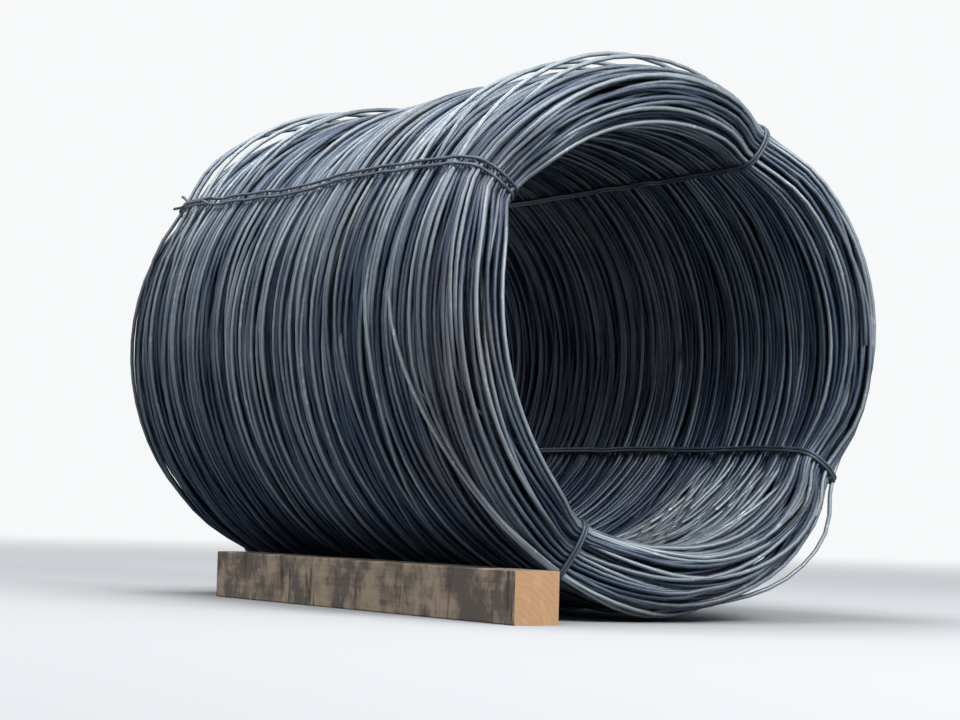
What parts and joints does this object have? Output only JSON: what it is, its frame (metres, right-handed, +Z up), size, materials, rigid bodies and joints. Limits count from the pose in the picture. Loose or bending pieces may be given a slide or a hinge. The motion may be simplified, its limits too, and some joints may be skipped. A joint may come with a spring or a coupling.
{
  "type": "coil of wire rod",
  "caption": "Coil of hot-rolled steel wire rod lying on its side, bound with tie wires and chocked by a squared timber.",
  "frame": {"origin": "on the floor below the middle of the coil", "axes": "+Z up, +Y along the coil's axis towards its back end, +X to the right as seen from the front end"},
  "size_m": [1.2496, 1.5644, 1.2496],
  "materials": {
    "rod_steel": "blue-grey mill scale, worn to pale grey on the outstanding turns",
    "tie_steel": "dark annealed wire",
    "sawn_timber": "weathered grey-brown faces, fresh orange end"
  },
  "bodies": {
    "root": {"rod_coil": "rod_steel", "tie_wire_upper_right": "tie_steel", "tie_wire_upper_left": "tie_steel", "tie_wire_lower_left": "tie_steel", "tie_wire_lower_right": "tie_steel", "chock_timber": "sawn_timber"}
  },
  "joints": []
}
